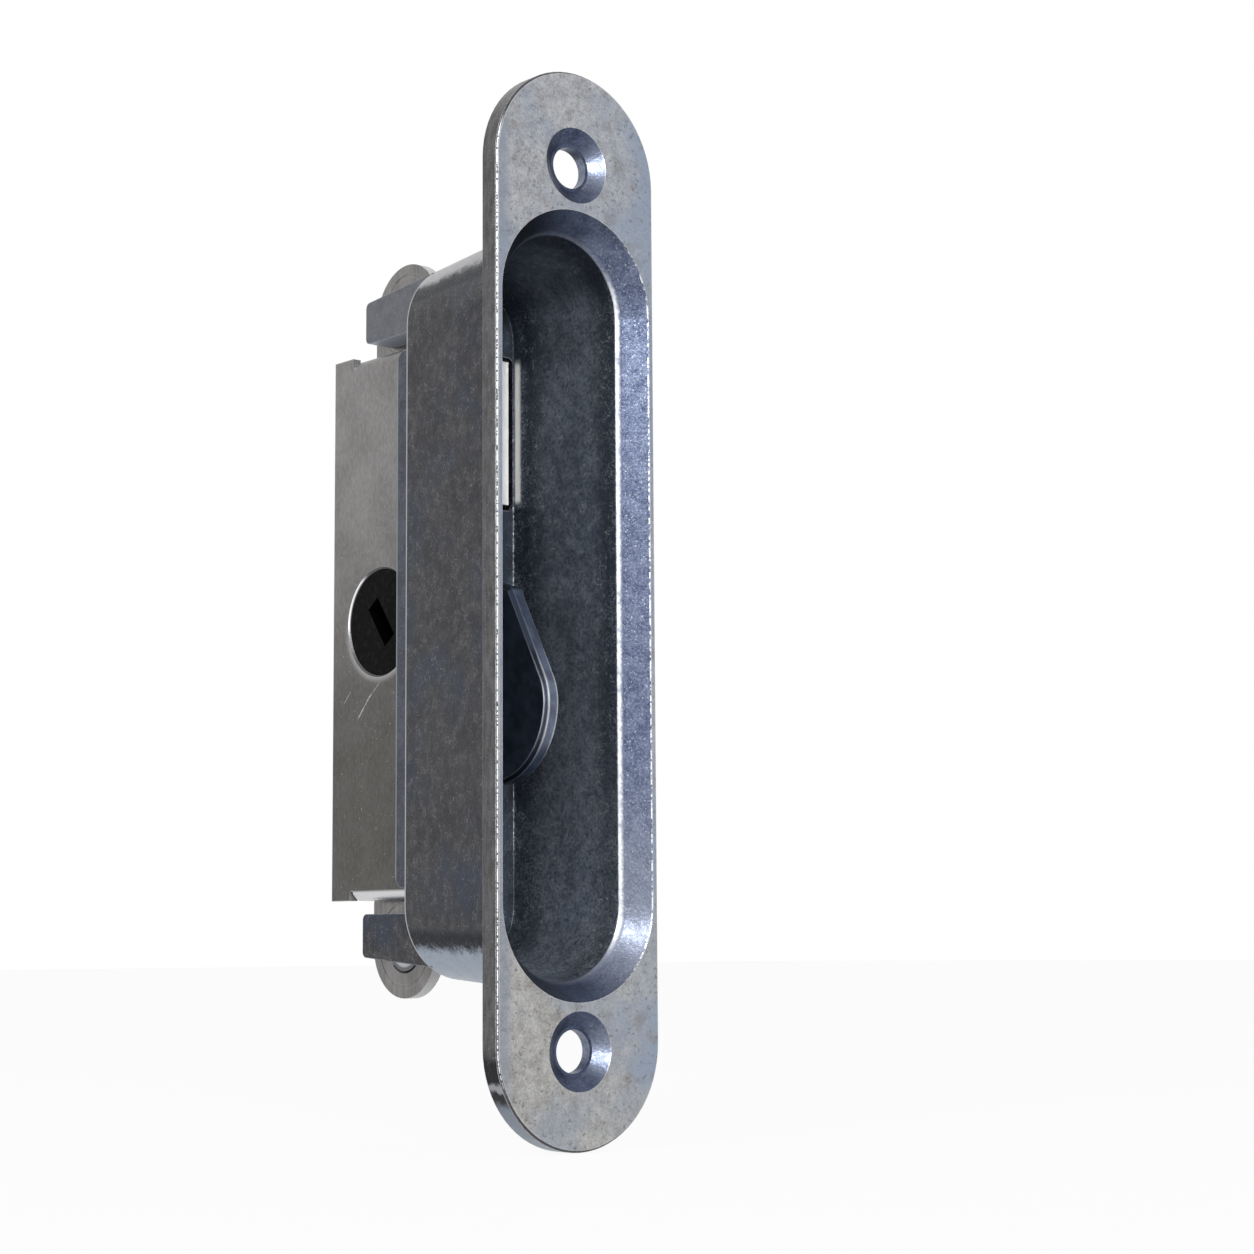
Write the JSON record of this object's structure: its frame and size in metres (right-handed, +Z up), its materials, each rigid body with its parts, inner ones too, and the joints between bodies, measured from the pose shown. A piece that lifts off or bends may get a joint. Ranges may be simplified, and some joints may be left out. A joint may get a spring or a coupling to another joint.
{
  "type": "sliding door mortise lock",
  "caption": "Mortise lock for a sliding door: long round-ended faceplate with a deep cup, a hook bolt that swings inside it, and a slim case with a slotted black hub.",
  "frame": {"origin": "centre of the faceplate's back face, which seats on the door's edge, midway between the two screw holes", "axes": "+X to the right across the faceplate seen from the front, +Y back into the door's edge, +Z up along the faceplate"},
  "size_m": [0.0254, 0.0433, 0.1334],
  "materials": {
    "cast_zinc": "grey zinc die casting, fine pits",
    "case_sheet_left": "brushed zinc-plated sheet",
    "case_sheet_right": "zinc-plated sheet",
    "hub_black": "matt black",
    "hook_steel": "dark steel, bright worn edges",
    "inner_steel": "plain steel",
    "pin_steel": "plain steel",
    "spring_steel": "blued spring steel",
    "nut_steel": "spring steel",
    "post_steel": "plain steel"
  },
  "bodies": {
    "case": {"faceplate_casting": "cast_zinc", "case_left_shell": "case_sheet_left", "case_right_shell": "case_sheet_right", "hub_washer_left": "inner_steel", "hub_washer_right": "inner_steel", "toggle_spring": "spring_steel", "upper_push_nut": "nut_steel", "lower_push_nut": "nut_steel", "case_post_upper": "post_steel", "case_post_lower_rear": "post_steel", "case_post_lower_front": "post_steel", "stop_post_thrown": "post_steel", "stop_post_retracted": "post_steel"},
    "hook": {"cylinder_hub": "hub_black", "hook_bolt": "hook_steel", "hub_cam": "inner_steel", "hub_spacer": "inner_steel", "drive_pin_rear": "pin_steel", "drive_pin_front": "pin_steel", "spring_stud": "pin_steel"}
  },
  "joints": [
    {"name": "hub_turn", "type": "hinge", "parent": "case", "child": "hook", "pos_m": [0, 0.02995, 0], "axis": [1, 0, 0], "range_deg": [0, 55], "deforming": ["toggle_spring"]}
  ]
}
